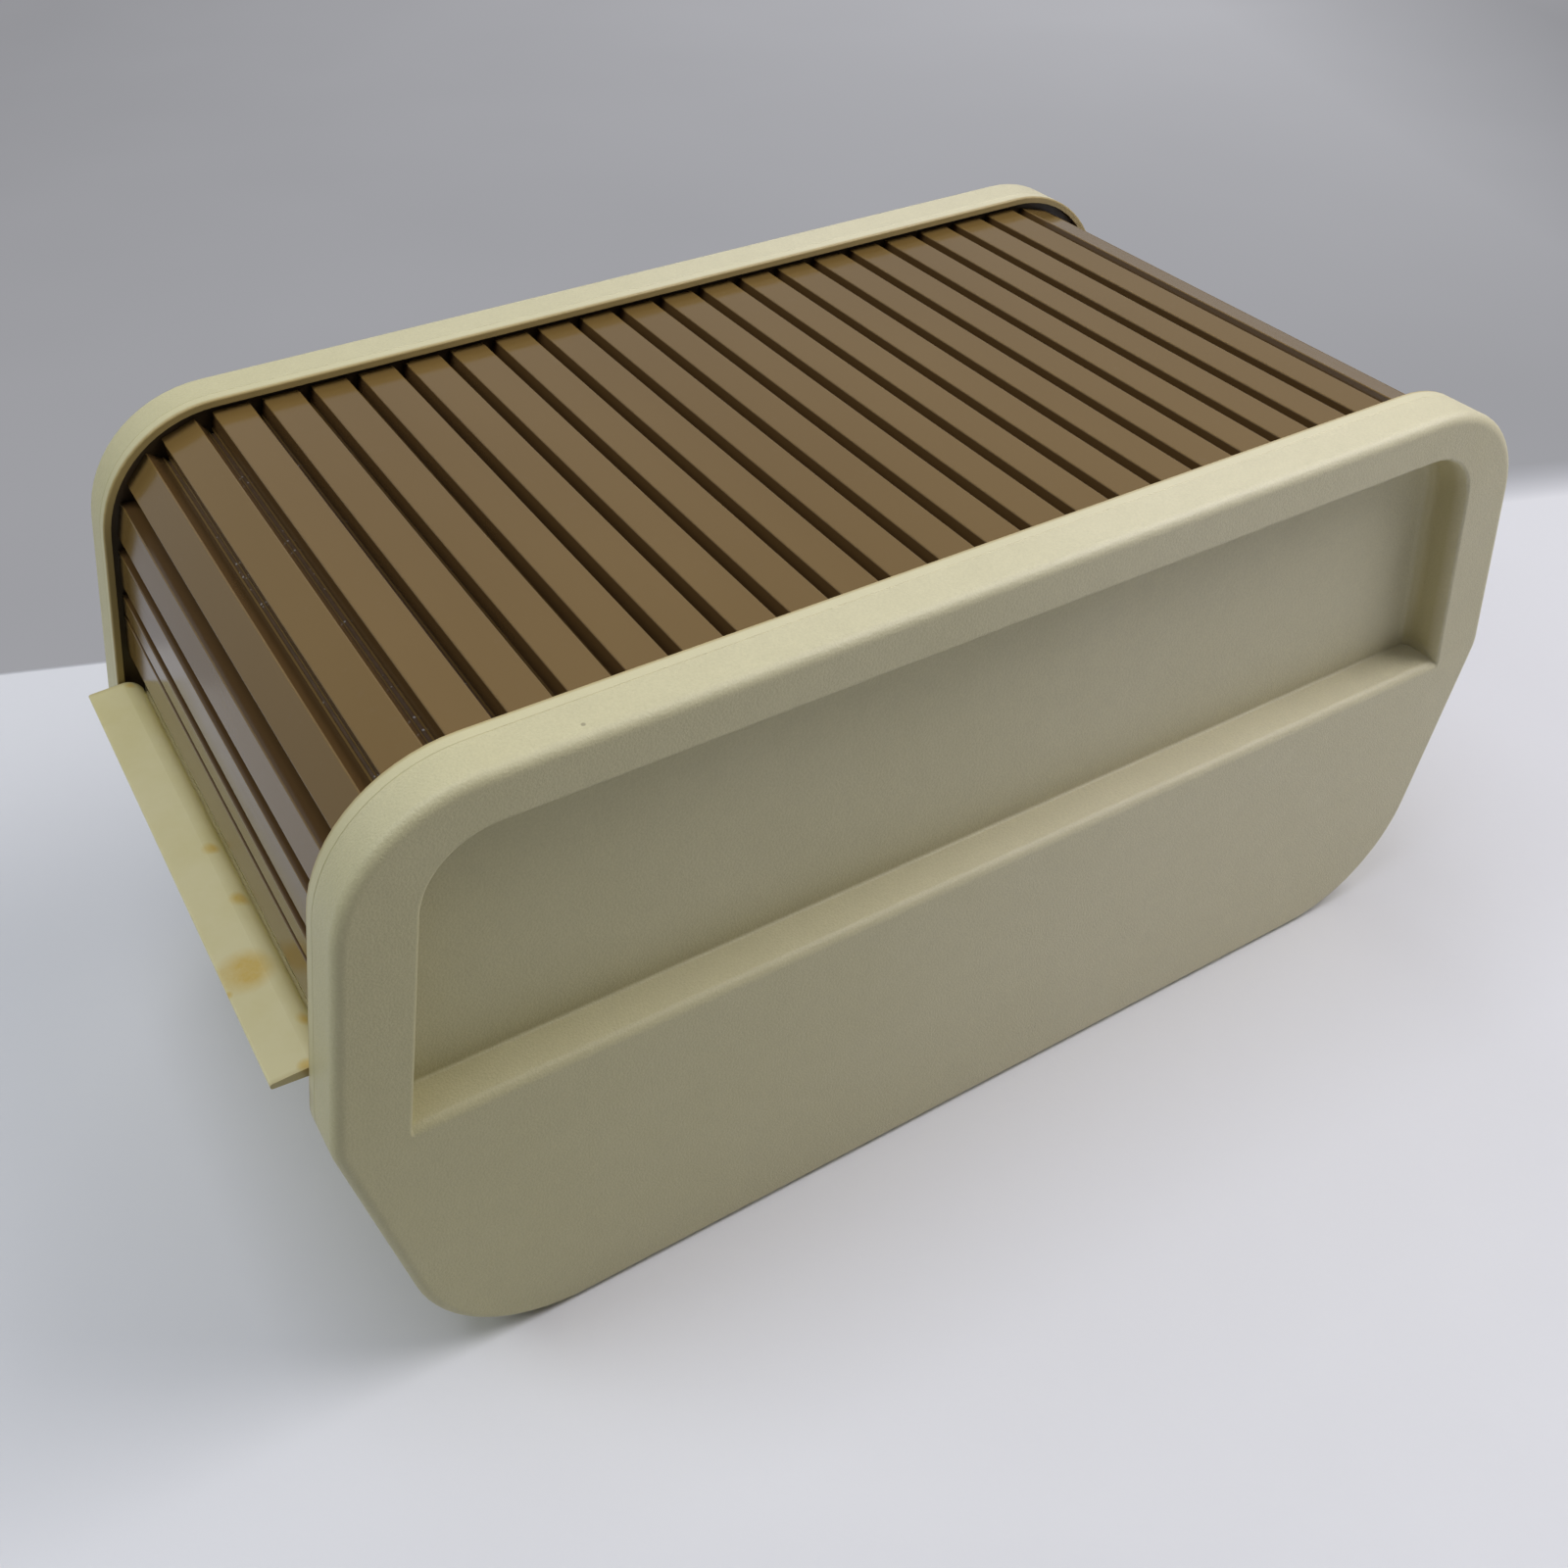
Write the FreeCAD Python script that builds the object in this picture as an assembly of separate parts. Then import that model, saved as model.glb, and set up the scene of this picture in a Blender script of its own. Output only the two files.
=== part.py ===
"""Roll-top case for 5.25 inch floppy disks.

Two moulded sides carry a shallow track all the way round their edge.  A shutter of
narrow slats runs in that track over the front, the top and the back, led by a handle bar
with a finger plate.  A tray with tilting dividers sits between the sides.

Millimetres.  +Z is up, the slats run along X and the handle is at the front (-Y).  The
pieces are drawn about the middle of the two sides and then moved a little backwards, so
that the origin is on the table under the middle of the whole length, handle included.
"""
import FreeCAD
import Part
import math
import os

from FreeCAD import Vector

# Driving dimensions of the side outline, seen along X
LENGTH = 326.0
HEIGHT = 165.0
WIDTH = 175.0
VERTEX_HEIGHT = 86.0
UPPER_LEAN = math.radians(10.8)
LOWER_LEAN = math.radians(9.4)
TOP_RADIUS = 34.0
BOTTOM_RADIUS = 38.0
VERTEX_RADIUS = 14.0
HANDLE_OVERHANG_SHIFT = 2.8

# Make-up of one side, measured outwards from its inner face
SIDE_THICKNESS = 14.4
PARTING_DEPTH = 3.4
WALL = 2.0
INNER_FACE = WIDTH / 2 - SIDE_THICKNESS
OUTER_EDGE_FILLET = 2.5
PARTING_CHAMFER = 0.15
LIP_EDGE_FILLET = 0.5

# Track, measured inwards from the outline
LIP_THICKNESS = 1.75
SLAT_TOP_INSET = 3.5
HINGE_INSET = 7.7
RAIL_INSET = 9.4
RAIL_THICKNESS = 1.2
TRACK_FLOOR_DEPTH = 2.7
TRACK_FLOOR_THICKNESS = 1.5
WEB_THICKNESS = 1.8
TRACK_VERTEX_RADIUS = 30.0
PLUG_CLEARANCE = 0.25
PLUG_THICKNESS = 1.4
PLUG_DEPTH = 7.5
STOP_HEIGHT = 86.2
STOP_LENGTH = 6.0
STOP_SINK = 0.4

# Recess in the outer face of a side
RECESS_TOP_INSET = 11.3
RECESS_SIDE_INSET = 15.9
RECESS_SHELF_HEIGHT = 84.6
RECESS_SHELF_RISE = 1.1
RECESS_DEPTH = 10.5
RECESS_DRAFT = math.radians(7.0)
RECESS_RADIUS = 18.0
RECESS_WALL = 1.5
SHELF_FILLET = 2.4
RECESS_LIP_FILLET = 0.8
RECESS_FLOOR_FILLET = 3.0
SHELF_FLOOR_FILLET = 0.8

# Shutter slats.  The first one behind the lead slat is short, with a narrow joint between them.
PITCH = 12.15
FIRST_PITCH = 7.0
NARROW_JOINT_GAP = 0.5
REFERENCE_SLAT_Y = -6.97
SLAT_TOP_WIDTH = 9.05
SLAT_BASE_WIDTH = 11.35
SLAT_BASE_THICKNESS = 0.8
SLAT_EDGE_FILLET = 0.4
SLAT_SHOULDER = 0.3
SLAT_END = 2.3
SLAT_POCKET_WIDTH = 6.0
SLAT_POCKET_DEPTH = 2.9
SLAT_POCKET_END = 6.0
SLAT_POCKET_FLARE = 0.6
SLATS_BEFORE_REFERENCE = 13
SLATS_IN_ALL = 30
SLAT_HEIGHT = HINGE_INSET - SLAT_TOP_INSET

# Handle bar: finger plate, rounded shoulder behind it, skirt below it and a web in the track
BAR_END_GAP = 0.6
HANDLE_TIP_Y = -168.4
HANDLE_TOP_Z = 97.4
HANDLE_TOP_FALL = 0.4
HANDLE_TIP_THICKNESS = 1.3
HANDLE_ROOT_THICKNESS = 2.4
HANDLE_TIP_FILLET = 0.55
SHOULDER_START_Y = -159.8
SHOULDER_RADIUS = 4.5
CREVICE_Z = 92.6
SKIRT_INSET = 1.5
SKIRT_SLOPE = 0.9
SKIRT_BOTTOM_Z = 88.0
BAR_WEB_THICKNESS = 1.1
BAR_BOTTOM_GAP = 0.9

# Disk tray
TRAY_INSET = 10.8
TRAY_WALL = 2.2
TRAY_FRONT_Z = 91.0
TRAY_BACK_Z = 113.0
TRAY_END_Z = 60.0
TRAY_HALF = INNER_FACE - 0.1

# Tilting dividers
DIVIDER_PITCH = 60.0
DIVIDER_COUNT = 4
DIVIDER_HALF = 66.0
DIVIDER_HEIGHT = 128.0
DIVIDER_THICKNESS = 2.0
DIVIDER_LEAN = math.radians(10.0)
DIVIDER_CORNER = 8.0
DIVIDER_PANEL_MARGIN = 9.0
DIVIDER_PANEL_DEPTH = 0.5
TAB_WIDTH = 30.0
TAB_HEIGHT = 8.0
TAB_SPACING = 30.0
TAB_CORNER = 3.0
BEAD_RADIUS = 1.6
BEAD_CLEARANCE = 0.08
BEAD_HALF = 60.0
CHANNEL_WIDTH = 8.0
CHANNEL_HEIGHT = 4.5
CHANNEL_HALF = 63.0
DIVIDER_TIP = math.radians(12.0)
REST_X = 34.0
REST_WIDTH = 3.0
REST_HEIGHT = 14.0
REST_FOOT = 9.0
REST_CREST = 1.5
REST_GAP = 0.15
REST_START = 0.6

# Fixing screws, four on each side
SCREW_Y = (-108.0, -40.0, 40.0, 108.0)
SCREW_Z = 32.0
SCREW_RADIUS = 1.5
SCREW_LENGTH = 12.0
SCREW_HEAD_RADIUS = 3.2
SCREW_HEAD_HEIGHT = 2.0
SCREW_HEAD_FILLET = 0.9
SCREW_SLOT = 0.8
SCREW_SLOT_REACH = 1.9
SCREW_SLOT_DEPTH = 1.2
BOSS_RADIUS = 4.0
HOLE_RADIUS = 1.7
PILOT_RADIUS = 1.55
BOSS_GAP = 0.1
PILOT_END = 1.0
RIB_THICKNESS = 1.2
RIB_GAP = 0.3

# How far a cutting shape stands clear of what it cuts
CLEAR = 1.0


def offset_corners(inset):
    """Corners of the six-sided outline moved inwards, from the front vertex clockwise."""
    upper = (HEIGHT - VERTEX_HEIGHT) * math.tan(UPPER_LEAN)
    lower = VERTEX_HEIGHT * math.tan(LOWER_LEAN)
    half = LENGTH / 2
    corners = [
        (-half, VERTEX_HEIGHT),
        (-half + upper, HEIGHT),
        (half - upper, HEIGHT),
        (half, VERTEX_HEIGHT),
        (half - lower, 0.0),
        (-half + lower, 0.0),
    ]
    return inset_polygon(corners, [inset] * len(corners))


def inset_polygon(corners, insets):
    """Clockwise polygon with each edge moved inwards by its own distance."""
    count = len(corners)
    lines = []
    for index in range(count):
        y0, z0 = corners[index]
        y1, z1 = corners[(index + 1) % count]
        length = math.hypot(y1 - y0, z1 - z0)
        normal = ((z1 - z0) / length, -(y1 - y0) / length)
        start = (y0 + normal[0] * insets[index], z0 + normal[1] * insets[index])
        lines.append((start, (y1 - y0, z1 - z0)))
    moved = []
    for index in range(count):
        (ay, az), (ady, adz) = lines[index - 1]
        (by, bz), (bdy, bdz) = lines[index]
        cross = ady * bdz - adz * bdy
        along = ((by - ay) * bdz - (bz - az) * bdy) / cross
        moved.append((ay + along * ady, az + along * adz))
    return moved


def rounded_face(corners, radii, x=0.0):
    """Face in the plane at x with the corners (y, z) rounded by true arcs."""
    points = [Vector(x, y, z) for y, z in corners]
    count = len(points)
    arcs = []
    for index, radius in enumerate(radii):
        corner = points[index]
        back = (points[index - 1] - corner).normalize()
        ahead = (points[(index + 1) % count] - corner).normalize()
        if radius <= 0:
            arcs.append((corner, None, corner))
            continue
        half = back.getAngle(ahead) / 2
        reach = radius / math.tan(half)
        middle = (back + ahead).normalize() * (radius / math.sin(half) - radius)
        arcs.append((corner + back * reach, corner + middle, corner + ahead * reach))
    edges = []
    for index in range(count):
        start, middle, end = arcs[index]
        if middle is not None:
            edges.append(Part.Arc(start, middle, end).toShape())
        following = arcs[(index + 1) % count][0]
        if (following - end).Length > 1e-6:
            edges.append(Part.makeLine(end, following))
    return Part.Face(Part.Wire(edges))


def outline(inset, x=0.0):
    """The side outline moved inwards."""
    vertex = max(VERTEX_RADIUS - inset, 1.0)
    top = TOP_RADIUS - inset
    bottom = BOTTOM_RADIUS - inset
    return rounded_face(offset_corners(inset), [vertex, top, top, vertex, bottom, bottom], x)


def track_loop(inset, x=0.0):
    """The same outline with the gentler vertices that the slats need."""
    vertex = TRACK_VERTEX_RADIUS + HINGE_INSET - inset
    top = TOP_RADIUS - inset
    bottom = BOTTOM_RADIUS - inset
    return rounded_face(offset_corners(inset), [vertex, top, top, vertex, bottom, bottom], x)


def layer(shape_at, inset, start, end):
    """Solid between two depths of the right-hand side, depths counted from its inner face."""
    return shape_at(inset, INNER_FACE + start).extrude(Vector(end - start, 0, 0))


def ring(shape_at, outer, inner, start, end):
    """Band between two insets and two depths."""
    return layer(shape_at, outer, start, end).cut(layer(shape_at, inner, start, end))


def recess_corners(extra, depth):
    """Corners of the recess at a depth below the outer face, clockwise from the front shelf end."""
    draft = depth * math.tan(RECESS_DRAFT)
    base = offset_corners(0.0)
    shelf = RECESS_SHELF_HEIGHT + depth / RECESS_DEPTH * RECESS_SHELF_RISE - extra
    polygon = [base[0], base[1], base[2], base[3]]
    side = RECESS_SIDE_INSET + draft - extra
    top = RECESS_TOP_INSET + draft - extra
    bottom = shelf - VERTEX_HEIGHT
    return inset_polygon(polygon, [side, top, side, bottom])


def recess_solid(extra):
    """Tapered block of the recess, grown by extra on every wall."""
    deep = RECESS_DEPTH + extra
    radius = RECESS_RADIUS + extra
    shallow_radii = [0.0, radius, radius, 0.0]
    draft = deep * math.tan(RECESS_DRAFT)
    deep_radii = [0.0, radius - draft, radius - draft, 0.0]
    outer_face = rounded_face(recess_corners(extra, 0.0), shallow_radii, WIDTH / 2)
    inner_face = rounded_face(recess_corners(extra, deep), deep_radii, WIDTH / 2 - deep)
    return Part.makeLoft([outer_face.OuterWire, inner_face.OuterWire], True, True)


def edges_where(shape, test):
    """Edges of a shape whose bounding box passes a test."""
    return [edge for edge in shape.Edges if test(edge.BoundBox)]


def cylinder_x(radius, y, z, start, end):
    """Cylinder along X."""
    return Part.makeCylinder(radius, end - start, Vector(start, y, z), Vector(1, 0, 0))


def box_between(low, high):
    """Box from its low corner to its high corner."""
    return Part.makeBox(high[0] - low[0], high[1] - low[1], high[2] - low[2], Vector(*low))


def mirrored(shape):
    """The same part for the left-hand side."""
    return shape.mirror(Vector(0, 0, 0), Vector(1, 0, 0))


def fillets(shape, wanted):
    """Round several groups of edges at once, each group a radius and a test on the edge's box."""
    document = FreeCAD.newDocument("fillets")
    source = document.addObject("Part::Feature", "source")
    source.Shape = shape
    rounding = document.addObject("Part::Fillet", "rounding")
    rounding.Base = source
    chosen = []
    for number, edge in enumerate(shape.Edges, start=1):
        for radius, test in wanted:
            if test(edge.BoundBox):
                chosen.append((number, radius, radius))
    rounding.Edges = chosen
    document.recompute()
    result = rounding.Shape.copy()
    FreeCAD.closeDocument(document.Name)
    return result


def side_panel():
    """Outer moulding of the right-hand side: rim wall, face, recess, ribs and screw bosses."""
    face_x = WIDTH / 2
    parting_x = INNER_FACE + PARTING_DEPTH
    block = layer(outline, 0.0, PARTING_DEPTH, SIDE_THICKNESS)
    block = block.makeFillet(OUTER_EDGE_FILLET, edges_where(block, lambda box: box.XMin > face_x - 0.01))
    block = block.makeChamfer(PARTING_CHAMFER, edges_where(block, lambda box: box.XMax < parting_x + 0.01))

    hollow = layer(outline, WALL, 0.0, SIDE_THICKNESS - WALL)
    panel = block.cut(hollow).fuse(recess_solid(RECESS_WALL)).cut(recess_solid(0.0))
    panel = soften_recess(panel.removeSplitter())

    roof_x = face_x - WALL
    boss_base = INNER_FACE + WEB_THICKNESS + BOSS_GAP
    rib_base = INNER_FACE + TRACK_FLOOR_DEPTH + TRACK_FLOOR_THICKNESS + RIB_GAP
    rib_bottom = WALL + PLUG_CLEARANCE + PLUG_THICKNESS + RIB_GAP
    rib_top = RECESS_SHELF_HEIGHT - RECESS_WALL
    half_rib = RIB_THICKNESS / 2
    for y in SCREW_Y:
        boss = cylinder_x(BOSS_RADIUS, y, SCREW_Z, boss_base, roof_x)
        rib = box_between((rib_base, y - half_rib, rib_bottom), (roof_x, y + half_rib, rib_top))
        panel = panel.fuse(boss).fuse(rib)
    for y in SCREW_Y:
        panel = panel.cut(cylinder_x(PILOT_RADIUS, y, SCREW_Z, boss_base, roof_x - PILOT_END))
    return panel.removeSplitter()


def soften_recess(panel):
    """Rounded edges of the recess: wide along the shelf and at the foot of the walls, small elsewhere."""
    face_x = WIDTH / 2
    floor_x = face_x - RECESS_DEPTH
    shelf_z = RECESS_SHELF_HEIGHT
    recess_top = HEIGHT - RECESS_TOP_INSET
    recess_half = LENGTH / 2 - RECESS_SIDE_INSET
    margin = 0.5

    def in_recess(box):
        return (box.ZMin > shelf_z - margin and box.ZMax < recess_top + margin
                and box.YMin > -recess_half - margin and box.YMax < recess_half + margin)

    def on_shelf(box):
        return box.ZMax < shelf_z + RECESS_SHELF_RISE + margin

    def on_face(box):
        return in_recess(box) and box.XMin > face_x - 0.01

    def on_floor(box):
        return in_recess(box) and abs(box.XMin - floor_x) < 0.01 and abs(box.XMax - floor_x) < 0.01

    return fillets(panel, [
        (SHELF_FILLET, lambda box: on_face(box) and on_shelf(box)),
        (RECESS_LIP_FILLET, lambda box: on_face(box) and not on_shelf(box)),
        (SHELF_FLOOR_FILLET, lambda box: on_floor(box) and on_shelf(box)),
        (RECESS_FLOOR_FILLET, lambda box: on_floor(box) and not on_shelf(box)),
    ])


def track_plate():
    """Inner moulding of the right-hand side: lip, track floor, rail, plug rib and flat web."""
    floor_end = TRACK_FLOOR_DEPTH + TRACK_FLOOR_THICKNESS
    rail_end = RAIL_INSET + RAIL_THICKNESS
    plug = WALL + PLUG_CLEARANCE

    lip = layer(outline, 0.0, 0.0, PARTING_DEPTH)
    parting_x = INNER_FACE + PARTING_DEPTH
    lip = lip.makeChamfer(PARTING_CHAMFER, edges_where(lip, lambda box: box.XMin > parting_x - 0.01))
    inner_edges = edges_where(lip, lambda box: box.XMax < INNER_FACE + 0.01)
    lip = lip.makeFillet(LIP_EDGE_FILLET, inner_edges)
    lip = lip.cut(layer(outline, LIP_THICKNESS, -CLEAR, TRACK_FLOOR_DEPTH))
    lip = lip.cut(layer(track_loop, rail_end, -CLEAR, PARTING_DEPTH + CLEAR))

    floor = ring(track_loop, plug, rail_end, TRACK_FLOOR_DEPTH, floor_end)
    rail = ring(track_loop, RAIL_INSET, rail_end, 0.0, floor_end)
    plug_rib = ring(track_loop, plug, plug + PLUG_THICKNESS, floor_end - 0.2, PLUG_DEPTH)
    web = layer(track_loop, RAIL_INSET, 0.0, WEB_THICKNESS)
    plate = lip.fuse(floor).fuse(rail).fuse(plug_rib).fuse(web)
    plate = plate.fuse(closing_stop())
    for y in SCREW_Y:
        plate = plate.cut(cylinder_x(HOLE_RADIUS, y, SCREW_Z, INNER_FACE - CLEAR,
                                     INNER_FACE + WEB_THICKNESS + CLEAR))
    return plate.removeSplitter()


def closing_stop():
    """Block across the front of the track that the closed handle bar comes to rest above."""
    block = ring(track_loop, LIP_THICKNESS - STOP_SINK, RAIL_INSET + STOP_SINK, 0.0,
                 TRACK_FLOOR_DEPTH + STOP_SINK)
    window = box_between((INNER_FACE - CLEAR, -LENGTH, STOP_HEIGHT - STOP_LENGTH),
                         (WIDTH / 2, 0.0, STOP_HEIGHT))
    return block.common(window)


def track_point(distance):
    """Point (y, z) on the hinge line, distance counted along it from the middle of the top."""
    corners = offset_corners(HINGE_INSET)
    radius = TOP_RADIUS - HINGE_INSET
    sweep = math.pi / 2 - UPPER_LEAN
    flat = corners[2][0] - radius * math.tan(sweep / 2)
    sign = -1 if distance < 0 else 1
    run = abs(distance)
    top = HEIGHT - HINGE_INSET
    if run <= flat:
        return (distance, top)
    if run <= flat + radius * sweep:
        angle = (run - flat) / radius
        return (sign * (flat + radius * math.sin(angle)), top - radius * (1 - math.cos(angle)))
    down = run - flat - radius * sweep
    y = flat + radius * math.sin(sweep) + down * math.sin(UPPER_LEAN)
    z = top - radius * (1 - math.cos(sweep)) - down * math.cos(UPPER_LEAN)
    return (sign * y, z)


def next_hinge(distance, direction, pitch=PITCH):
    """Position on the track of the hinge one pitch further along."""
    start = track_point(distance)
    low = distance
    high = distance + direction * pitch * 1.2
    for _ in range(50):
        middle = (low + high) / 2
        y, z = track_point(middle)
        if math.hypot(y - start[0], z - start[1]) < pitch:
            low = middle
        else:
            high = middle
    return (low + high) / 2


def slat_places():
    """Middle point and angle of the lead slat and of every slat behind it, front to back."""
    hinges = [REFERENCE_SLAT_Y - PITCH / 2, REFERENCE_SLAT_Y + PITCH / 2]
    for _ in range(SLATS_BEFORE_REFERENCE):
        hinges.insert(0, next_hinge(hinges[0], -1))
    while len(hinges) < SLATS_IN_ALL:
        hinges.append(next_hinge(hinges[-1], 1))
    hinges.insert(0, next_hinge(hinges[0], -1, FIRST_PITCH))
    hinges.insert(0, next_hinge(hinges[0], -1))
    places = []
    for first, second in zip(hinges, hinges[1:]):
        y0, z0 = track_point(first)
        y1, z1 = track_point(second)
        angle = math.degrees(math.atan2(z1 - z0, y1 - y0))
        places.append((Vector(0, (y0 + y1) / 2, (z0 + z1) / 2), angle))
    return places


def prism(points, half_length):
    """Solid along X from a closed outline of (y, z) points."""
    vectors = [Vector(-half_length, y, z) for y, z in points]
    face = Part.Face(Part.makePolygon(vectors + [vectors[0]]))
    return face.extrude(Vector(2 * half_length, 0, 0))


def slat(pitch=PITCH, narrow_front=False, narrow_back=False):
    """One slat lying flat, its hinge line through the origin.

    A side is bevelled where the joint is a normal one and nearly square where it is narrow.
    """
    base = SLAT_BASE_THICKNESS / 2
    wide = (pitch - (PITCH - SLAT_BASE_WIDTH)) / 2
    bevelled = (pitch - (PITCH - SLAT_TOP_WIDTH)) / 2
    square = pitch / 2 - NARROW_JOINT_GAP
    front = square if narrow_front else bevelled
    back = square if narrow_back else bevelled
    front_shoulder = max(wide - SLAT_SHOULDER, front)
    back_shoulder = max(wide - SLAT_SHOULDER, back)
    half = INNER_FACE + SLAT_END
    body = prism([(-wide, -base), (wide, -base), (wide, 0.0), (back_shoulder, base), (back, SLAT_HEIGHT),
                  (-front, SLAT_HEIGHT), (-front_shoulder, base), (-wide, 0.0)], half)
    top_edges = edges_where(body, lambda box: box.ZMin > SLAT_HEIGHT - 0.01 and box.XLength > half)
    body = body.makeFillet(SLAT_EDGE_FILLET, top_edges)
    if pitch < PITCH:
        return body
    inner = SLAT_POCKET_WIDTH / 2
    mouth = inner + SLAT_POCKET_FLARE
    pocket = prism([(-mouth, -2 * base), (mouth, -2 * base),
                    (inner, SLAT_POCKET_DEPTH - base), (-inner, SLAT_POCKET_DEPTH - base)],
                   half - SLAT_POCKET_END)
    return body.cut(pocket)


def placed(shape, place):
    """Copy of a slat set on the track."""
    middle, angle = place
    copy = shape.copy()
    copy.Placement = FreeCAD.Placement(middle, FreeCAD.Rotation(Vector(1, 0, 0), angle))
    return copy


def on_front(inset, height):
    """Point (y, z) on the leaning front, at an inset from the outline."""
    y = -LENGTH / 2 + (height - VERTEX_HEIGHT) * math.tan(UPPER_LEAN) + inset / math.cos(UPPER_LEAN)
    return (y, height)


def handle_bar(lead_place):
    """Finger plate with its shoulder and skirt, on a web that meets the lead slat in the track."""
    middle = lead_place[0]
    up = Vector(0, math.sin(UPPER_LEAN), math.cos(UPPER_LEAN))
    inwards = Vector(0, math.cos(UPPER_LEAN), -math.sin(UPPER_LEAN))
    web_back = SLAT_BASE_THICKNESS / 2
    web_front = web_back - BAR_WEB_THICKNESS
    web_top = middle - up * (SLAT_BASE_WIDTH / 2)
    back_top = web_top + inwards * web_back
    front_top = web_top + inwards * web_front
    back_low = on_front(HINGE_INSET + web_back, STOP_HEIGHT + BAR_BOTTOM_GAP)
    front_low = on_front(HINGE_INSET + web_front, STOP_HEIGHT + BAR_BOTTOM_GAP)
    web = prism([(back_top.y, back_top.z), (front_top.y, front_top.z), front_low, back_low],
                INNER_FACE + SLAT_END)

    tip_top = HANDLE_TOP_Z - HANDLE_TOP_FALL
    skirt_top = on_front(SKIRT_INSET, HANDLE_TOP_Z - HANDLE_ROOT_THICKNESS)
    diagonal = SHOULDER_RADIUS * math.sqrt(0.5)
    shoulder_z = HANDLE_TOP_Z - SHOULDER_RADIUS
    half = INNER_FACE - BAR_END_GAP
    corners = [Vector(-half, y, z) for y, z in (
        (SHOULDER_START_Y, HANDLE_TOP_Z),
        (HANDLE_TIP_Y, tip_top),
        (HANDLE_TIP_Y, tip_top - HANDLE_TIP_THICKNESS),
        skirt_top,
        (skirt_top[0] + SKIRT_SLOPE, SKIRT_BOTTOM_Z),
        on_front(HINGE_INSET, SKIRT_BOTTOM_Z),
        on_front(HINGE_INSET, CREVICE_Z),
        (SHOULDER_START_Y + SHOULDER_RADIUS, shoulder_z))]
    shoulder_middle = Vector(-half, SHOULDER_START_Y + diagonal, shoulder_z + diagonal)
    shoulder = Part.Arc(corners[-1], shoulder_middle, corners[0]).toShape()
    edges = [Part.makeLine(a, b) for a, b in zip(corners, corners[1:])] + [shoulder]
    grip = Part.Face(Part.Wire(edges)).extrude(Vector(2 * half, 0, 0))
    tip_edges = edges_where(grip, lambda box: box.YMax < HANDLE_TIP_Y + 0.01 and box.XLength > half)
    grip = grip.makeFillet(HANDLE_TIP_FILLET, tip_edges)
    return web.fuse(grip).removeSplitter()


def disk_tray():
    """Open tray between the sides: floor, leaning front and back walls, ends and divider seats."""
    inner = TRAY_INSET + TRAY_WALL
    long_shell = track_loop(TRAY_INSET, -TRAY_HALF).extrude(Vector(2 * TRAY_HALF, 0, 0))
    hollow = track_loop(inner, -TRAY_HALF - CLEAR).extrude(Vector(2 * (TRAY_HALF + CLEAR), 0, 0))
    end_low = track_loop(TRAY_INSET, TRAY_HALF - TRAY_WALL).extrude(Vector(TRAY_WALL, 0, 0))
    below = box_between((-WIDTH, -LENGTH, 0.0), (WIDTH, LENGTH, TRAY_END_Z))
    end_wall = end_low.common(below)
    front_part = box_between((-WIDTH, -LENGTH, 0.0), (WIDTH, 0.0, TRAY_FRONT_Z))
    back_part = box_between((-WIDTH, 0.0, 0.0), (WIDTH, LENGTH, TRAY_BACK_Z))
    shell = long_shell.cut(hollow).common(front_part.fuse(back_part))
    tray = shell.fuse(end_wall).fuse(mirrored(end_wall))
    for y in divider_positions():
        tray = tray.fuse(divider_seat(y, inner))
    for y in SCREW_Y:
        for x in (-TRAY_HALF - CLEAR, TRAY_HALF - TRAY_WALL - CLEAR):
            tray = tray.cut(cylinder_x(HOLE_RADIUS, y, SCREW_Z, x, x + TRAY_WALL + 2 * CLEAR))
    return tray.removeSplitter()


def divider_positions():
    """Y of the hinge bead of every divider."""
    first = -DIVIDER_PITCH * (DIVIDER_COUNT - 1) / 2
    return [first + DIVIDER_PITCH * index for index in range(DIVIDER_COUNT)]


def divider_seat(y, floor):
    """Half-round channel for the bead, with webs that stop the divider leaning either way."""
    half = CHANNEL_WIDTH / 2
    pivot_z = floor + CHANNEL_HEIGHT
    seat = box_between((-CHANNEL_HALF, y - half, floor), (CHANNEL_HALF, y + half, pivot_z))
    for x in (-REST_X - REST_WIDTH / 2, REST_X - REST_WIDTH / 2):
        seat = seat.fuse(leaning_web(x, y, pivot_z, floor, 1, DIVIDER_LEAN))
        seat = seat.fuse(leaning_web(x, y, pivot_z, floor, -1, DIVIDER_TIP))
    radius = BEAD_RADIUS + BEAD_CLEARANCE
    return seat.cut(cylinder_x(radius, y, pivot_z, -CHANNEL_HALF, CHANNEL_HALF))


def leaning_web(x, y, pivot_z, floor, side, lean):
    """Upright web behind (side 1) or before (side -1) a divider, faced to the angle it leans at."""
    reach = DIVIDER_THICKNESS / 2 + REST_GAP
    low = BEAD_RADIUS + REST_START

    def face_point(height):
        across = reach * math.cos(lean) + height * math.sin(lean)
        return Vector(x, y + side * across, pivot_z + height * math.cos(lean) - reach * math.sin(lean))

    start = face_point(low)
    crest = face_point(REST_HEIGHT)
    points = [
        start,
        crest,
        crest + Vector(0, side * REST_CREST, 0),
        Vector(x, crest.y + side * REST_FOOT, floor),
        Vector(x, start.y, floor),
    ]
    return Part.Face(Part.makePolygon(points + [points[0]])).extrude(Vector(REST_WIDTH, 0, 0))


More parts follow.
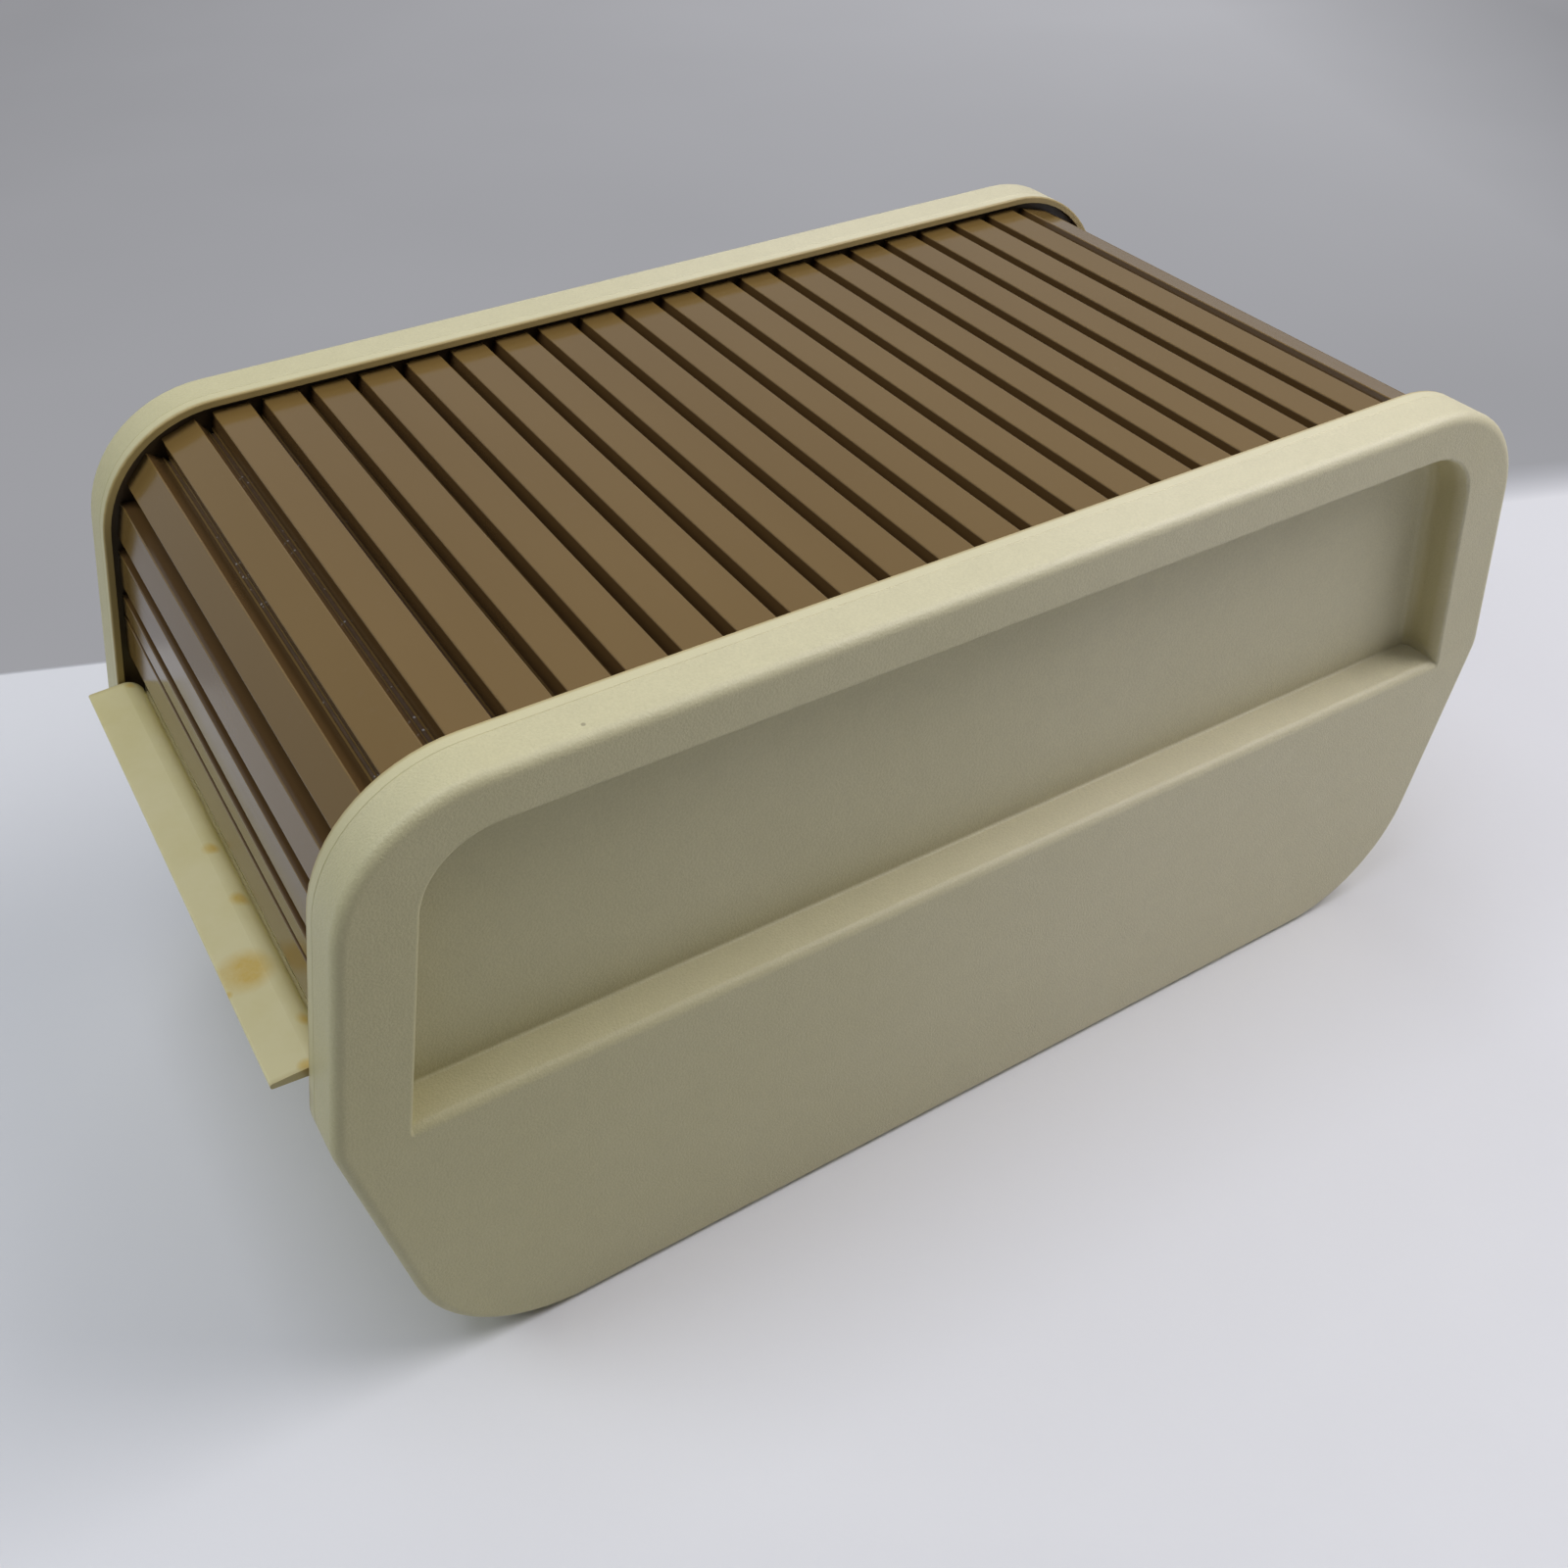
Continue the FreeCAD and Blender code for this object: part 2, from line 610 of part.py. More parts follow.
def divider(index):
    """Tilting plate with a bead along its foot, sunk panels and a tab of its own position."""
    y = divider_positions()[index]
    pivot = Vector(0, y, TRAY_INSET + TRAY_WALL + CHANNEL_HEIGHT)
    half_thick = DIVIDER_THICKNESS / 2
    tab_x = (index - (DIVIDER_COUNT - 1) / 2) * TAB_SPACING

    outer = rounded_plate(DIVIDER_HALF, 0.0, DIVIDER_HEIGHT, DIVIDER_CORNER, DIVIDER_THICKNESS)
    tab = rounded_plate(TAB_WIDTH / 2, DIVIDER_HEIGHT - DIVIDER_CORNER, DIVIDER_HEIGHT + TAB_HEIGHT,
                        TAB_CORNER, DIVIDER_THICKNESS)
    tab.translate(Vector(tab_x, 0, 0))
    plate = outer.fuse(tab)
    margin = DIVIDER_PANEL_MARGIN
    for side in (-1, 1):
        panel = rounded_plate(DIVIDER_HALF - margin, margin, DIVIDER_HEIGHT - margin, DIVIDER_CORNER,
                              DIVIDER_PANEL_DEPTH)
        panel.translate(Vector(0, side * (half_thick - DIVIDER_PANEL_DEPTH / 2), 0))
        plate = plate.cut(panel)
    plate = plate.fuse(cylinder_x(BEAD_RADIUS, 0.0, 0.0, -BEAD_HALF, BEAD_HALF)).removeSplitter()
    plate.rotate(Vector(0, 0, 0), Vector(1, 0, 0), -math.degrees(DIVIDER_LEAN))
    plate.translate(pivot)
    return plate


def rounded_plate(half_width, low, high, radius, thickness):
    """Upright plate in the XZ plane with its two upper corners rounded."""
    top_left = Vector(-half_width, 0, high)
    top_right = Vector(half_width, 0, high)
    shift = radius * (1 - math.sqrt(0.5))
    left_arc = Part.Arc(top_left - Vector(0, 0, radius),
                        top_left + Vector(shift, 0, -shift),
                        top_left + Vector(radius, 0, 0)).toShape()
    right_arc = Part.Arc(top_right - Vector(radius, 0, 0),
                         top_right + Vector(-shift, 0, -shift),
                         top_right - Vector(0, 0, radius)).toShape()
    low_left = Vector(-half_width, 0, low)
    low_right = Vector(half_width, 0, low)
    edges = [Part.makeLine(low_left, top_left - Vector(0, 0, radius)), left_arc,
             Part.makeLine(top_left + Vector(radius, 0, 0), top_right - Vector(radius, 0, 0)), right_arc,
             Part.makeLine(top_right - Vector(0, 0, radius), low_right),
             Part.makeLine(low_right, low_left)]
    face = Part.Face(Part.Wire(edges))
    plate = face.extrude(Vector(0, thickness, 0))
    plate.translate(Vector(0, -thickness / 2, 0))
    return plate


def assembly_screws():
    """Four pan-head screws through the tray end and track plate into the right-hand panel."""
    seat = TRAY_HALF - TRAY_WALL
    top = seat - SCREW_HEAD_HEIGHT
    screws = []
    for y in SCREW_Y:
        shank = cylinder_x(SCREW_RADIUS, y, SCREW_Z, top, seat + SCREW_LENGTH)
        head = cylinder_x(SCREW_HEAD_RADIUS, y, SCREW_Z, top, seat)
        rim = edges_where(head, lambda box: box.XMax < top + 0.01)
        head = head.makeFillet(SCREW_HEAD_FILLET, rim)
        screw = head.fuse(shank)
        reach = SCREW_SLOT_REACH
        low = top - CLEAR
        high = top + SCREW_SLOT_DEPTH
        blade = SCREW_SLOT / 2
        upright = box_between((low, y - blade, SCREW_Z - reach), (high, y + blade, SCREW_Z + reach))
        across = box_between((low, y - reach, SCREW_Z - blade), (high, y + reach, SCREW_Z + blade))
        screws.append(screw.cut(upright).cut(across).removeSplitter())
    return Part.makeCompound(screws)


def build_parts():
    """Every node of the case by name."""
    parts = {}
    panel = side_panel()
    plate = track_plate()
    screws = assembly_screws()
    parts["side_panel_right"] = panel
    parts["side_panel_left"] = mirrored(panel)
    parts["track_plate_right"] = plate
    parts["track_plate_left"] = mirrored(plate)
    parts["assembly_screws_right"] = screws
    parts["assembly_screws_left"] = mirrored(screws)
    parts["disk_tray"] = disk_tray()
    for index in range(DIVIDER_COUNT):
        parts["divider_%d" % (index + 1)] = divider(index)
    lead_place, first_place, *places = slat_places()
    parts["handle_bar"] = handle_bar(lead_place)
    parts["lead_slat"] = placed(slat(narrow_back=True), lead_place)
    parts["slat_01"] = placed(slat(FIRST_PITCH, narrow_front=True), first_place)
    flat_slat = slat()
    for number, place in enumerate(places, start=2):
        parts["slat_%02d" % number] = placed(flat_slat, place)
    for shape in parts.values():
        shape.translate(Vector(0, HANDLE_OVERHANG_SHIFT, 0))
    return parts


def main():
    os.makedirs("parts", exist_ok=True)
    for name, shape in build_parts().items():
        shape.exportStep(os.path.join("parts", name + ".step"))
        box = shape.BoundBox
        print("%-22s solids %d valid %s volume %.0f  X %.1f..%.1f Y %.1f..%.1f Z %.1f..%.1f" % (
            name, len(shape.Solids), shape.isValid(), shape.Volume, box.XMin, box.XMax,
            box.YMin, box.YMax, box.ZMin, box.ZMax))


main()
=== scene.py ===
"""Looks of the roll-top floppy disk case: camera, studio, materials and the webs between the slats.

Metres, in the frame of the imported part: +Z up, slats along X, handle at -Y.
"""

import math

import bmesh
import bpy
from mathutils import Matrix, Vector


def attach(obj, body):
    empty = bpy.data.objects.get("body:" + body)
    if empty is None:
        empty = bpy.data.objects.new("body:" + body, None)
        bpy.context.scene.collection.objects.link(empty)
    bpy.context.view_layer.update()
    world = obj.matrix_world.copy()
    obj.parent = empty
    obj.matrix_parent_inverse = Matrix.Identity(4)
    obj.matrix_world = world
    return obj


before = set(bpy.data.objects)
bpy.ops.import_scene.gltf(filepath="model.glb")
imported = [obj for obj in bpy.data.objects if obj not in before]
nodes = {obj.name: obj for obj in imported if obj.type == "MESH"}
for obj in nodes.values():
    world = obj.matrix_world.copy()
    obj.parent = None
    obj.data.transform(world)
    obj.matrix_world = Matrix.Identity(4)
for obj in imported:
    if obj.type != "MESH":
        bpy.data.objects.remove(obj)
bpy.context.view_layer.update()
scene = bpy.context.scene

MM = 0.001

# Plain pinhole camera, the nearest to one fitted to the photograph with lens distortion
CAMERA_PLACE = Vector((288.99, -181.88, 340.35)) * MM
CAMERA_YAW = math.radians(148.43)
CAMERA_PITCH = math.radians(-40.83)
CAMERA_ROLL = math.radians(-0.155)
FOCAL_SHARE = 1613.2 / 1600.0
SENSOR = 36.0
NEAREST_SEEN = 0.01
FARTHEST_SEEN = 20.0

# Main colours, linear
CREAM = (0.635, 0.582, 0.382)
CREAM_YELLOWER = (0.51, 0.467, 0.250)
CREAM_SPECK = (0.10, 0.08, 0.05)
AMBER = (0.30, 0.205, 0.05)
SLAT_BROWN = (0.156, 0.096, 0.029)
SLAT_DEEP = (0.132, 0.079, 0.022)
# Painted shade for the sides of the slats and for the webs
SLAT_SIDE_SHADE = (0.068, 0.035, 0.012)
# Brown of the webs, painted dark as shade
WEB_SHADE_BROWN = (0.050, 0.028, 0.010)
DUST = (0.42, 0.40, 0.36)
# Painted shade for the groove and the underside of the track's lip
GROOVE_SHADE = (0.060, 0.038, 0.014)
# Painted shade for the end walls of the finger recess
RECESS_SHADE = (0.36, 0.30, 0.11)
HANDLE_CREAM = (0.62, 0.555, 0.295)
HANDLE_AGED = (0.56, 0.49, 0.215)
STAIN = (0.52, 0.33, 0.035)
ZINC = (0.56, 0.56, 0.54)
ZINC_DULL = (0.38, 0.37, 0.34)

# Grain of the moulded plastic, in features per metre
GRAIN = 1900.0

# The cream turns darker and yellower from here towards the front
FRONT_TONE_FROM_Y = 60.0 * MM
FRONT_TONE_FULL_Y = -170.0 * MM

# Finger recess in the side panels: how far its rim is from the middle, and how high its shelf
RECESS_EDGE = 86.5 * MM
SHELF_Z = 86.0 * MM

# Depths of the track from the middle of the case, and where the painted shade in it starts
INNER_FACE = 73.1 * MM
TRACK_FLOOR = 75.8 * MM
GROOVE_LOW_Z = 90.0 * MM

# Line of the shutter: its middle, and where its bends start, from there and from the table
MIDDLE_Y = 2.8 * MM
BEND_START = 119.8 * MM
BEND_Z = 131.0 * MM

# A place inside the loop of the track, which the walls of the groove face or turn away from
TRACK_MIDDLE = (0.0, MIDDLE_Y, 86.0 * MM)

# Webs between the slats
LAST_SLAT = 30
WEB_HALF_LENGTH = 72.8 * MM
WEB_TAPER = 0.3 * MM
WEB_TIP_SHARE = 0.6
WEB_REACH = 0.35 * MM
WEB_THICK = 0.7 * MM
WEB_SIDES = 10

# Handle bar: height of the finger plate, and where the bar's amber ends start and are full
PLATE_Z = 97.2 * MM
BAR_AMBER_START = 71.2 * MM
BAR_END = 72.8 * MM

# Where the finger plate is stained: place across the case, place along it, radius
STAINS_MM = (
    (40.8, -160.5, 7.0),
    (0.1, -155.7, 2.4),
    (19.0, -154.8, 2.8),
    (59.1, -153.5, 2.6),
    (45.3, -165.6, 1.4),
    (71.5, -158.0, 2.0),
    (-71.0, -155.5, 1.6),
)

# Studio: a floor with white paper, and grey paper beyond a straight edge
FLOOR_REACH = 4.0
EDGE_START = Vector((-245.0, -183.2, 0.0)) * MM
EDGE_END = Vector((-30.0, 400.8, 0.0)) * MM
EDGE_SHARP = 2.0 * MM
EDGE_SOFT = 28.0 * MM
TABLE_COLOR = (0.69, 0.685, 0.67)
TABLE_DRIFT = 0.985
BACKDROP_SHADE = (0.45, 0.45, 0.46)
# Glow of the grey paper for the camera, with painted light along its edge and painted shade in the far
# corner
BACKDROP_TINT = (0.995, 1.0, 1.065)
BACKDROP_LEVEL = 0.345
BACKDROP_DARKER = -0.04
BACKDROP_BRIGHTER = 0.115
BACKDROP_CORNER = -0.14
BACKDROP_DRIFT = 0.006

# The world is seen and mirrored in full, but lights the part with this share only
WORLD_COLOR = (0.46, 0.46, 0.48)
WORLD_LIGHT_SHARE = 0.08

# Square lamps, all aimed at one point: place and side in metres, power in watts, colour
LAMP_TARGET = Vector((0.0, 0.0, 0.08))
LAMPS = {
    "overhead": ((0.0, -0.3, 1.4), 0.8, 7.2, (0.96, 1.0, 1.20)),
    "left": ((-0.9, 0.2, 1.0), 0.6, 2.0, (0.96, 1.0, 1.10)),
    "back": ((0.35, 0.8, 1.2), 0.6, 3.9, (1.0, 0.99, 1.05)),
    "back_right": ((0.3, 0.55, 0.8), 0.6, 4.5, (1.0, 0.98, 1.04)),
    "front_left": ((-0.3, -0.9, 0.9), 0.6, 4.6, (0.94, 1.01, 1.05)),
}

# This lamp lights only: a mirror image of it on the slats is not in the photograph
LAMP_NOT_MIRRORED = "left"


class Tree:
    """Short helper for building one material's nodes."""

    def __init__(self, name):
        self.material = bpy.data.materials.new(name)
        self.material.use_nodes = True
        self.tree = self.material.node_tree
        self.tree.nodes.clear()
        self.output = self.node("ShaderNodeOutputMaterial")
        self.shader = self.node("ShaderNodeBsdfPrincipled")
        self.link(self.shader.outputs["BSDF"], self.output.inputs["Surface"])
        places = self.node("ShaderNodeTexCoord")
        self.coords = places.outputs["Object"]
        self.facing = places.outputs["Normal"]

    def node(self, kind, **values):
        made = self.tree.nodes.new(kind)
        for key, value in values.items():
            setattr(made, key, value)
        return made

    def link(self, source, target):
        self.tree.links.new(source, target)

    def noise(self, scale, detail=4.0, rough=0.55, stretch=(1.0, 1.0, 1.0)):
        """Noise in object space; scale counts features per metre."""
        mapping = self.node("ShaderNodeMapping")
        mapping.inputs["Scale"].default_value = stretch
        self.link(self.coords, mapping.inputs["Vector"])
        made = self.node("ShaderNodeTexNoise")
        made.inputs["Scale"].default_value = scale
        made.inputs["Detail"].default_value = detail
        made.inputs["Roughness"].default_value = rough
        self.link(mapping.outputs["Vector"], made.inputs["Vector"])
        return made.outputs["Fac"]

    def ramp(self, source, low, high, start=0.0, end=1.0):
        """Maps low..high of a value to start..end, clamped."""
        made = self.node("ShaderNodeMapRange")
        made.inputs["From Min"].default_value = low
        made.inputs["From Max"].default_value = high
        made.inputs["To Min"].default_value = start
        made.inputs["To Max"].default_value = end
        self.link(source, made.inputs["Value"])
        return made.outputs["Result"]

    def math(self, operation, first, second=0.0):
        """Arithmetic; each input is a number or a socket."""
        made = self.node("ShaderNodeMath", operation=operation)
        for slot, value in zip(made.inputs, (first, second)):
            if isinstance(value, (int, float)):
                slot.default_value = value
            else:
                self.link(value, slot)
        return made.outputs["Value"]

    def product(self, first, *others):
        made = first
        for value in others:
            made = self.math("MULTIPLY", made, value)
        return made

    def total(self, first, *others):
        made = first
        for value in others:
            made = self.math("ADD", made, value)
        return made

    def vector(self, operation, first, second=(0.0, 0.0, 0.0)):
        """Vector arithmetic; each input is a socket or three numbers."""
        made = self.node("ShaderNodeVectorMath", operation=operation)
        for slot, value in zip(made.inputs, (first, second)):
            if isinstance(value, (tuple, Vector)):
                slot.default_value = value
            else:
                self.link(value, slot)
        gives_number = operation in ("DOT_PRODUCT", "DISTANCE")
        return made.outputs["Value" if gives_number else "Vector"]

    def axis(self, letter, source=None):
        """One coordinate of a vector, by default of the place in metres."""
        made = self.node("ShaderNodeSeparateXYZ")
        self.link(self.coords if source is None else source, made.inputs["Vector"])
        return made.outputs[letter]

    def mix(self, share, first, second):
        """Colour mix; each input is a colour or a socket."""
        made = self.node("ShaderNodeMix", data_type="RGBA")
        self.link(share, made.inputs["Factor"])
        for slot, value in ((made.inputs["A"], first), (made.inputs["B"], second)):
            if isinstance(value, tuple):
                slot.default_value = (*value, 1.0)
            else:
                self.link(value, slot)
        return made.outputs["Result"]

    def shade(self, color, grey):
        """A colour darkened by a grey value."""
        made = self.node("ShaderNodeMix", data_type="RGBA", blend_type="MULTIPLY")
        made.inputs["Factor"].default_value = 1.0
        self.link(color, made.inputs["A"])
        self.link(grey, made.inputs["B"])
        return made.outputs["Result"]

    def specks(self, scale, size, wanted):
        """Sparse round dots; size is a share of the cell and wanted the share of cells that hold one."""
        made = self.node("ShaderNodeTexVoronoi")
        made.inputs["Scale"].default_value = scale
        self.link(self.coords, made.inputs["Vector"])
        dot = self.ramp(made.outputs["Distance"], size * 0.6, size, 1.0, 0.0)
        cell = self.axis("X", made.outputs["Color"])
        chosen = self.math("LESS_THAN", cell, wanted)
        return self.product(dot, chosen)

    def bump(self, height, distance, strength=1.0):
        made = self.node("ShaderNodeBump")
        made.inputs["Distance"].default_value = distance
        made.inputs["Strength"].default_value = strength
        self.link(height, made.inputs["Height"])
        return made.outputs["Normal"]

    def finish(self, color, roughness, normal, specular=0.4):
        """Connects the surface and gives the material."""
        self.link(color, self.shader.inputs["Base Color"])
        self.link(roughness, self.shader.inputs["Roughness"])
        self.link(normal, self.shader.inputs["Normal"])
        self.shader.inputs["Specular IOR Level"].default_value = specular
        return self.material


def shell_color(t):
    """Cream with slow patches of yellowing, darker and yellower towards the front, and a few dark
    specks.
    """
    patches = t.ramp(t.noise(9.0, detail=3.0), 0.35, 0.75, -0.12, 0.12)
    front = t.ramp(t.axis("Y"), FRONT_TONE_FROM_Y, FRONT_TONE_FULL_Y)
    color = t.mix(t.total(patches, front), CREAM, CREAM_YELLOWER)
    mottle = t.ramp(t.noise(160.0, rough=0.65), 0.25, 0.75, 0.95, 1.0)
    specks = t.product(t.specks(60.0, size=0.035, wanted=0.08), 0.5)
    return t.mix(specks, t.shade(color, mottle), CREAM_SPECK)


def recess_shade_share(t):
    """Painted shade on the end walls of the finger recess, which face along the case, above its shelf.
    """
    inwards = t.product(t.axis("Y", t.facing), t.axis("Y"))
    end_wall = t.ramp(inwards, -0.015, -0.08)
    sunk = t.ramp(t.math("ABSOLUTE", t.axis("X")), RECESS_EDGE, RECESS_EDGE - 3.0 * MM)
    above_shelf = t.ramp(t.axis("Z"), SHELF_Z - 2.0 * MM, SHELF_Z + 3.0 * MM)
    return t.product(end_wall, sunk, above_shelf, 0.6)


def shell_plastic(name, grain):
    """Moulded cream shell with a fine grain."""
    t = Tree(name)
    fine = t.noise(GRAIN, detail=2.5, rough=0.6)
    color = t.shade(shell_color(t), t.ramp(fine, 0.3, 0.75, 1.0 - 0.10 * grain, 1.0))
    # Painted shade on the end walls of the finger recess
    color = t.mix(recess_shade_share(t), color, RECESS_SHADE)
    roughness = t.ramp(t.noise(60.0), 0.2, 0.8, 0.40, 0.52)
    return t.finish(color, roughness, t.bump(fine, 0.18 * MM * grain, strength=0.8))


def groove_shade_share(t, depth):
    """Where shade is painted on the track: under its lip, and on the floor of the groove."""
    away = t.vector("SUBTRACT", t.coords, TRACK_MIDDLE)
    along_side = t.vector("MULTIPLY", away, (0.0, 1.0, 1.0))
    turned_in = t.math("LESS_THAN", t.vector("DOT_PRODUCT", along_side, t.facing), -0.01)
    inside = t.math("GREATER_THAN", depth, INNER_FACE + 0.6 * MM)
    from_floor = t.math("ABSOLUTE", t.math("SUBTRACT", depth, TRACK_FLOOR))
    on_floor = t.math("LESS_THAN", from_floor, 0.3 * MM)
    sideways = t.math("GREATER_THAN", t.math("ABSOLUTE", t.axis("X", t.facing)), 0.9)
    groove = t.math("MAXIMUM", t.product(turned_in, inside), t.product(on_floor, sideways))
    return t.product(groove, t.ramp(t.axis("Z"), GROOVE_LOW_Z - 8.0 * MM, GROOVE_LOW_Z))


def track_plastic():
    """The inner mouldings: smooth cream, painted amber shade along the inner edge of the lip, and dark
    painted shade in the groove.
    """
    t = Tree("shell_smooth")
    fine = t.noise(GRAIN, detail=2.0, rough=0.6)
    color = t.shade(shell_color(t), t.ramp(fine, 0.3, 0.75, 0.97, 1.0))
    depth = t.math("ABSOLUTE", t.axis("X"))
    # Amber painted shade along the inner face of the lip
    edge = t.ramp(depth, INNER_FACE + 0.2 * MM, INNER_FACE + 1.2 * MM, 0.8, 0.0)
    color = t.mix(edge, color, AMBER)
    # Dark painted shade in the groove and under the track's lip
    color = t.mix(groove_shade_share(t, depth), color, GROOVE_SHADE)
    roughness = t.ramp(t.noise(60.0), 0.2, 0.8, 0.36, 0.50)
    return t.finish(color, roughness, t.bump(fine, 0.06 * MM, strength=0.6))


def outward_share(t):
    """How far a slat's surface faces out of the shutter: 1 on its outer face, 0 on its sides."""
    along = t.math("SUBTRACT", t.axis("Y"), MIDDLE_Y)
    held = t.math("MINIMUM", t.math("MAXIMUM", along, -BEND_START), BEND_START)
    outward = t.node("ShaderNodeCombineXYZ")
    t.link(t.math("SUBTRACT", along, held), outward.inputs["Y"])
    t.link(t.math("MAXIMUM", t.math("SUBTRACT", t.axis("Z"), BEND_Z), 0.0), outward.inputs["Z"])
    unit = t.vector("NORMALIZE", outward.outputs["Vector"])
    return t.vector("DOT_PRODUCT", unit, t.facing)


def slat_plastic():
    """Glossy brown slats with faint drag marks along them, slow changes of tone, and painted shade on
    their sides.
    """
    t = Tree("slat_brown")
    tone = t.ramp(t.noise(14.0, detail=3.0, rough=0.5, stretch=(0.35, 1.0, 1.0)), 0.3, 0.75)
    color = t.mix(tone, SLAT_BROWN, SLAT_DEEP)
    dust = t.product(t.ramp(t.noise(260.0, detail=5.0, rough=0.7), 0.6, 0.85), 0.03)
    color = t.mix(dust, color, DUST)
    # Sides of the slats painted dark as the shade in the gaps
    color = t.mix(t.ramp(outward_share(t), 0.80, 0.35, 0.0, 0.85), color, SLAT_SIDE_SHADE)
    streaks = t.noise(900.0, detail=3.0, rough=0.6, stretch=(0.02, 1.0, 1.0))
    smear = t.ramp(t.noise(30.0, detail=3.0, rough=0.6), 0.3, 0.8, 0.0, 0.06)
    roughness = t.total(t.ramp(streaks, 0.2, 0.8, 0.09, 0.16), smear)
    normal = t.bump(t.noise(1500.0, detail=2.0, rough=0.6), 0.012 * MM, strength=0.5)
    return t.finish(color, roughness, normal, specular=0.36)


def web_plastic():
    """Thin web between two slats: its brown painted dark as the shade at the foot of the gap, with dust
    caught in it.
    """
    t = Tree("slat_web")
    dust = t.product(t.specks(900.0, size=0.32, wanted=0.16), 0.6)
    tone = t.ramp(t.noise(300.0, detail=3.0), 0.3, 0.7)
    # Web painted dark as shade, with specks of dust
    color = t.mix(dust, t.mix(tone, SLAT_SIDE_SHADE, WEB_SHADE_BROWN), DUST)
    roughness = t.ramp(t.noise(400.0), 0.2, 0.8, 0.55, 0.75)
    normal = t.bump(t.noise(1200.0), 0.01 * MM, strength=0.2)
    return t.finish(color, roughness, normal, specular=0.2)


def handle_plastic():
    """Yellowed smooth cream of the handle bar, with amber stains soaked into the plate."""
    t = Tree("handle_cream")
    patches = t.ramp(t.noise(26.0, detail=5.0, rough=0.65), 0.38, 0.68)
    color = t.mix(patches, HANDLE_CREAM, HANDLE_AGED)
    blotch = t.ramp(t.noise(260.0, rough=0.7), 0.25, 0.75, 0.45, 1.0)
    stained = 0.0
    for across, along, radius in STAINS_MM:
        away = t.vector("DISTANCE", t.coords, (across * MM, along * MM, PLATE_Z))
        spot = t.ramp(away, radius * 0.35 * MM, radius * MM, 1.0, 0.0)
        stained = t.math("MAXIMUM", spot, stained)
    color = t.mix(t.product(stained, blotch), color, STAIN)
    ends = t.ramp(t.math("ABSOLUTE", t.axis("X")), BAR_AMBER_START, BAR_END, 0.0, 0.45)
    color = t.mix(ends, color, AMBER)
    roughness = t.ramp(t.noise(80.0), 0.2, 0.8, 0.30, 0.42)
    normal = t.bump(t.noise(700.0, detail=3.0, rough=0.6), 0.03 * MM, strength=0.5)
    return t.finish(color, roughness, normal)


def screw_metal():
    """Zinc plating, dulled in patches."""
    t = Tree("screw_zinc")
    color = t.mix(t.ramp(t.noise(500.0), 0.3, 0.8), ZINC, ZINC_DULL)
    roughness = t.ramp(t.noise(900.0), 0.2, 0.8, 0.25, 0.45)
    t.shader.inputs["Metallic"].default_value = 1.0
    return t.finish(color, roughness, t.bump(t.noise(2500.0), 0.04 * MM, strength=0.5))


def paint(name, material):
    """Gives a carried-over node its material on every slot."""
    slots = nodes[name].data.materials
    slots.clear()
    slots.append(material)
    for polygon in nodes[name].data.polygons:
        polygon.material_index = 0


def dress_nodes():
    """Paints every solid of the part, told by the start of its name."""
    slat = slat_plastic()
    materials = {
        "side_panel": shell_plastic("shell_grained", 1.0),
        "track_plate": track_plastic(),
        "disk_tray": shell_plastic("tray_cream", 0.5),
        "divider": shell_plastic("divider_cream", 0.5),
        "slat": slat,
        "lead_slat": slat,
        "handle_bar": handle_plastic(),
        "assembly_screws": screw_metal(),
    }
    for name in nodes:
        start = next(start for start in materials if name.startswith(start))
        paint(name, materials[start])


def side_points(name):
    """Places (y, z) of a slat's corners, each once."""
    found = {(round(v.co.y, 6), round(v.co.z, 6)) for v in nodes[name].data.vertices}
    return sorted(found)


def web_ends(first, second):
    """Two points (y, z) where one slat comes nearest to the next, seen along them."""
    pairs = [(math.dist(a, b), a, b) for a in side_points(first) for b in side_points(second)]
    nearest = min(pairs)
    return Vector(nearest[1]), Vector(nearest[2])


def web_rings(form, near_side, far_side):
    """Flat oval outlines along the slats, smaller at the web's two tips."""
    middle = (near_side + far_side) / 2
    gap = (far_side - near_side).length
    wide = (far_side - near_side).normalized() * (gap / 2 + WEB_REACH)
    thick = Vector((-wide.y, wide.x)).normalized() * (WEB_THICK / 2)
    tip = WEB_HALF_LENGTH
    full = WEB_HALF_LENGTH - WEB_TAPER
    rings = []
    for x, scale in ((-tip, WEB_TIP_SHARE), (-full, 1.0), (full, 1.0), (tip, WEB_TIP_SHARE)):
        ring = []
        for step in range(WEB_SIDES):
            angle = 2 * math.pi * step / WEB_SIDES
            spot = middle + (wide * math.cos(angle) + thick * math.sin(angle)) * scale
            ring.append(form.verts.new((x, spot.x, spot.y)))
        rings.append(ring)
    return rings


def make_web(name, first, second, body, material):
    """Thin web of plastic that fills the foot of the gap between two slats."""
    form = bmesh.new()
    rings = web_rings(form, *web_ends(first, second))
    for near, far in zip(rings, rings[1:]):
        for step in range(WEB_SIDES):
            other = (step + 1) % WEB_SIDES
            form.faces.new((near[step], near[other], far[other], far[step]))
    form.faces.new(list(reversed(rings[0])))
    form.faces.new(rings[-1])
    bmesh.ops.recalc_face_normals(form, faces=form.faces)
    mesh = bpy.data.meshes.new(name)
    form.to_mesh(mesh)
    form.free()
    for polygon in mesh.polygons:
        polygon.use_smooth = len(polygon.vertices) == 4
    web = bpy.data.objects.new(name, mesh)
    scene.collection.objects.link(web)
    web.data.materials.append(material)
    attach(web, body)


